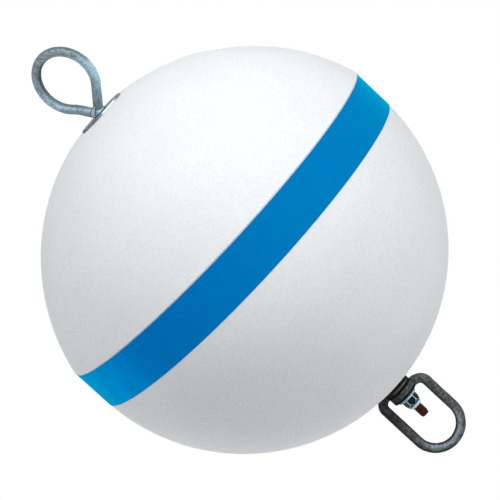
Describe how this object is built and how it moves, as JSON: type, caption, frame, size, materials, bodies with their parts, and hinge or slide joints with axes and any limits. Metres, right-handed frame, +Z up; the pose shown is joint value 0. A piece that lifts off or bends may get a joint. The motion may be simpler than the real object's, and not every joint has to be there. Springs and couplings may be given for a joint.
{
  "type": "mooring buoy",
  "caption": "Ball mooring buoy: foam-filled white shell with a blue belt, a through rod with a welded eye on top and a swivelling bail underneath.",
  "frame": {"origin": "where a shackle bears on the inside top of the eye, on the rod's axis", "axes": "+Z up along the rod, away from the ball; the eye lies in the XZ plane, with its free end on the -Y side of the rod"},
  "size_m": [0.4596, 0.4597, 0.6481],
  "materials": {
    "shell_plastic": "white moulded plastic with a fine orange-peel texture",
    "foam": "closed-cell foam",
    "tube_plastic": "satin",
    "blue_tape": "smooth adhesive tape",
    "galvanised_steel": "dull hot-dip galvanised",
    "weathered_steel": "dull galvanised, darkened and mottled",
    "zinc_plate": "bright zinc plated",
    "nylon": "nylon"
  },
  "bodies": {
    "float": {"ball_shell": "shell_plastic", "foam_core": "foam", "centre_tube": "tube_plastic", "stripe_tape": "blue_tape", "top_plate": "galvanised_steel", "eye_rod": "galvanised_steel", "flat_washer": "zinc_plate", "lock_nut": "zinc_plate", "nut_insert": "nylon"},
    "swivel": {"swivel_bail": "weathered_steel"}
  },
  "joints": [
    {"name": "swivel_turn", "type": "hinge", "parent": "float", "child": "swivel", "pos_m": [0, 0, -0.5433], "axis": [0, 0, 1], "continuous": true}
  ]
}
